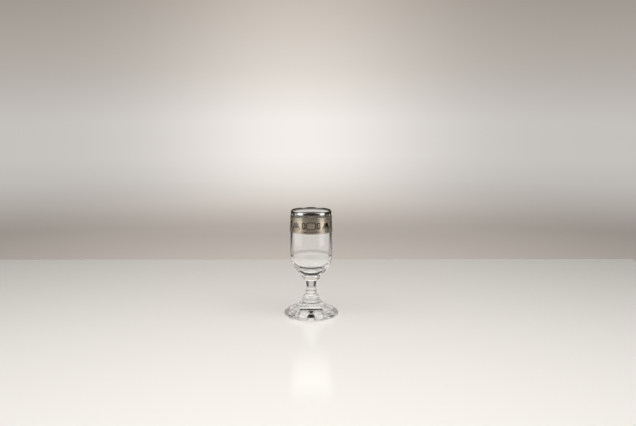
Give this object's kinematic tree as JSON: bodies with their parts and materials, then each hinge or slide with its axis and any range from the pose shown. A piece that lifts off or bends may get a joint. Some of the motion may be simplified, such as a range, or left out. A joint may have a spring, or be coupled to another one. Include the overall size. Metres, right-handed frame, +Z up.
{
  "type": "cordial glass",
  "caption": "Small clear stemmed cordial glass with a knopped stem, a thick pressed foot, and a platinum lip line and wide relief band.",
  "frame": {"origin": "centre of the rest plane under the foot", "axes": "+Z up along the glass's axis; -Y faces the viewer and the middle of one cartouche"},
  "size_m": [0.0518, 0.0518, 0.102],
  "materials": {
    "bowl_glass": "clear blown glass, fire-polished",
    "stem_glass": "clear pressed glass, fire-polished",
    "foot_glass": "clear pressed glass, polished rest ring",
    "bright_platinum": "fired platinum, mirror bright",
    "satin_platinum": "fired platinum on an etched ground, satin",
    "relief_platinum": "fired platinum on raised relief, burnished"
  },
  "bodies": {
    "root": {"foot": "foot_glass", "foot_drum": "stem_glass", "stem": "stem_glass", "collar": "stem_glass", "bowl": "bowl_glass", "lip_line": "bright_platinum", "band_ground": "satin_platinum", "border_rules": "relief_platinum", "upper_pellets": "relief_platinum", "lower_lozenges": "relief_platinum", "cartouches": "relief_platinum", "curls": "relief_platinum", "palmettes": "relief_platinum"}
  },
  "joints": []
}
